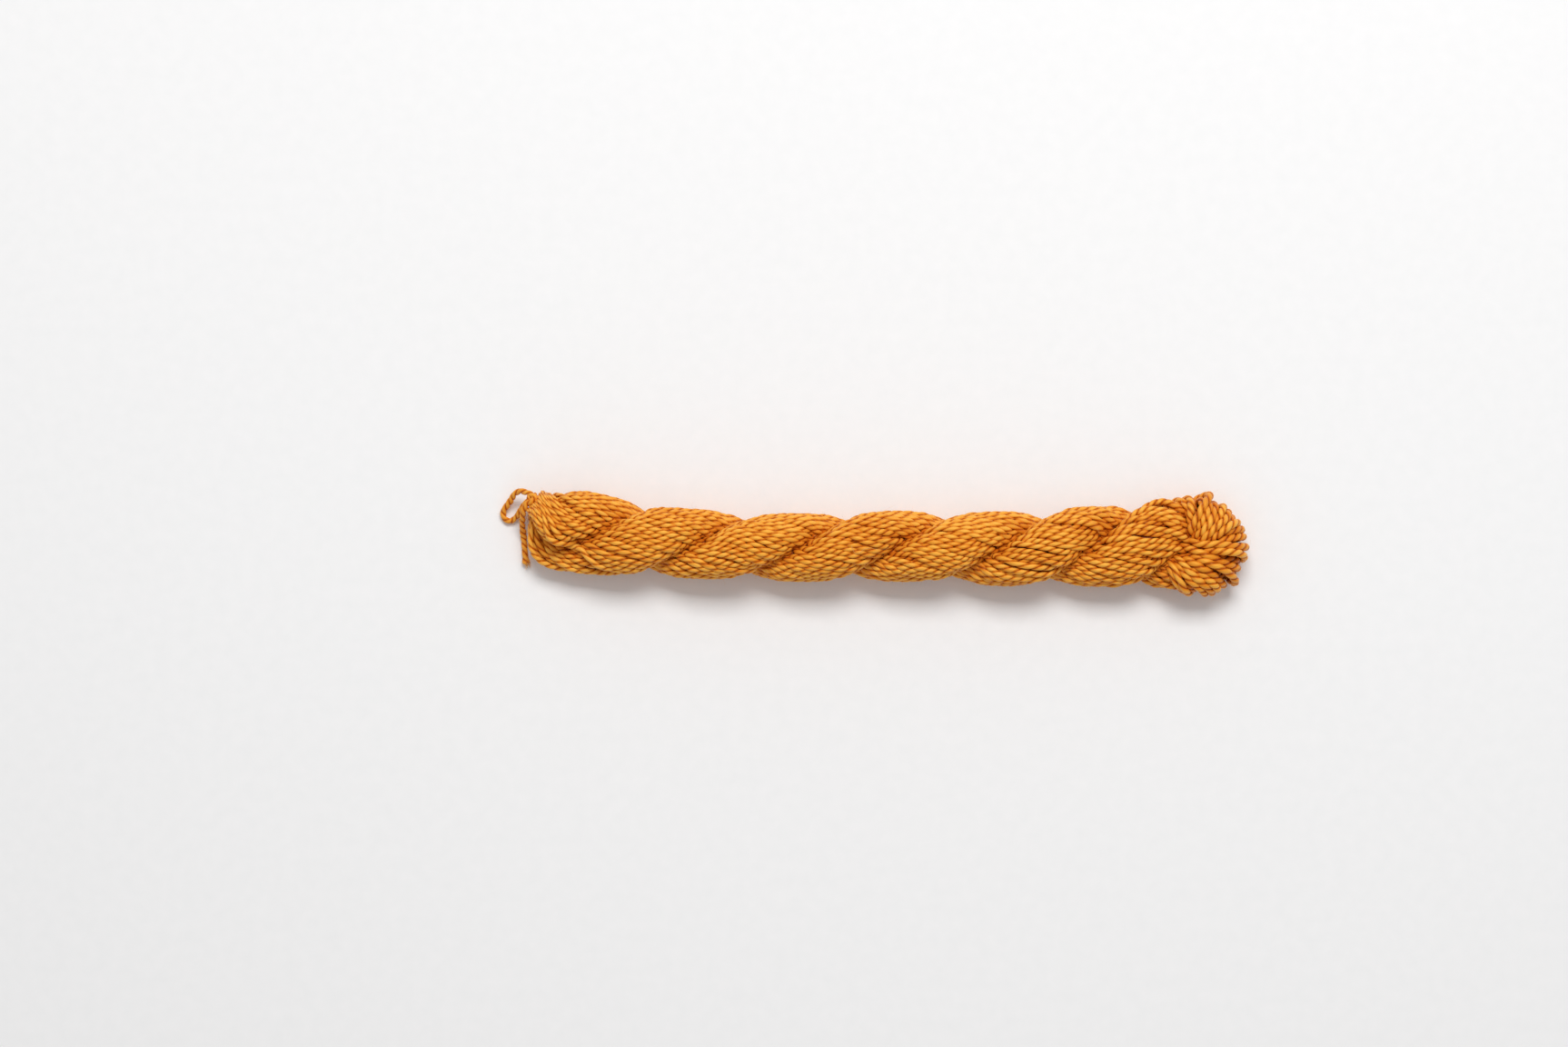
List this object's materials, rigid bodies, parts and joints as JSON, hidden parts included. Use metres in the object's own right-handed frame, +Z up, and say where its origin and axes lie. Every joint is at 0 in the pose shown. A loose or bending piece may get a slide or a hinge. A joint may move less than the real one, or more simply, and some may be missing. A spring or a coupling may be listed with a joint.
{
  "type": "twisted skein of silk embroidery floss with a thread tie",
  "caption": "Skein of soft two-ply silk embroidery floss, folded and twisted on itself into a hank, lying flat, with a knotted thread tie, its loop and cut end at one end",
  "frame": {"origin": "on the surface that the skein lies on, under the middle of its length and width", "axes": "+X runs along the skein from its tied end to its folded end, +Z is up off the surface, +Y completes the right-handed frame"},
  "size_m": [0.2222, 0.0316, 0.0196],
  "materials": {
    "silk_floss": "golden orange spun silk, soft sheen, plied strands",
    "silk_tie": "the same golden orange silk thread, knotted, with a frayed cut end"
  },
  "bodies": {
    "root": {"skein": "silk_floss", "tie_knot": "silk_tie", "tie_loop": "silk_tie", "tie_end": "silk_tie"}
  },
  "joints": []
}
